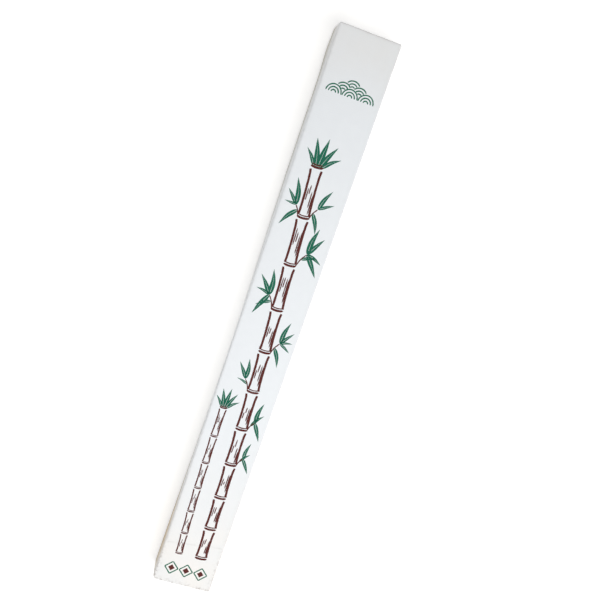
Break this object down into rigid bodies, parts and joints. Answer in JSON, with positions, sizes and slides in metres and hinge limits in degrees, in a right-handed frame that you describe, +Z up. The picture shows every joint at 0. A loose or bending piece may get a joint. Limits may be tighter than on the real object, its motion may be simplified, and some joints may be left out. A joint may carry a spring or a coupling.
{
  "type": "long two-piece gift box",
  "caption": "Long narrow white gift box for one root vegetable: a deep lid of folded corrugated board that lifts off a tray of the same board, printed in green and brown.",
  "frame": {"origin": "middle of the tray's underside, on the surface that the box stands on", "axes": "+X along the box, +Y across it, +Z up through the lid"},
  "size_m": [0.95, 0.1, 0.055],
  "materials": {
    "lid_board": "smooth matt white liner with a faint sheen, printed in two inks on the top",
    "tray_board": "matt white liner, plain",
    "ink_green": "thin matt printing ink, dark green",
    "ink_brown": "thin matt printing ink, dark reddish brown"
  },
  "bodies": {
    "root": {"lid": "lid_board", "tray": "tray_board"}
  },
  "joints": []
}
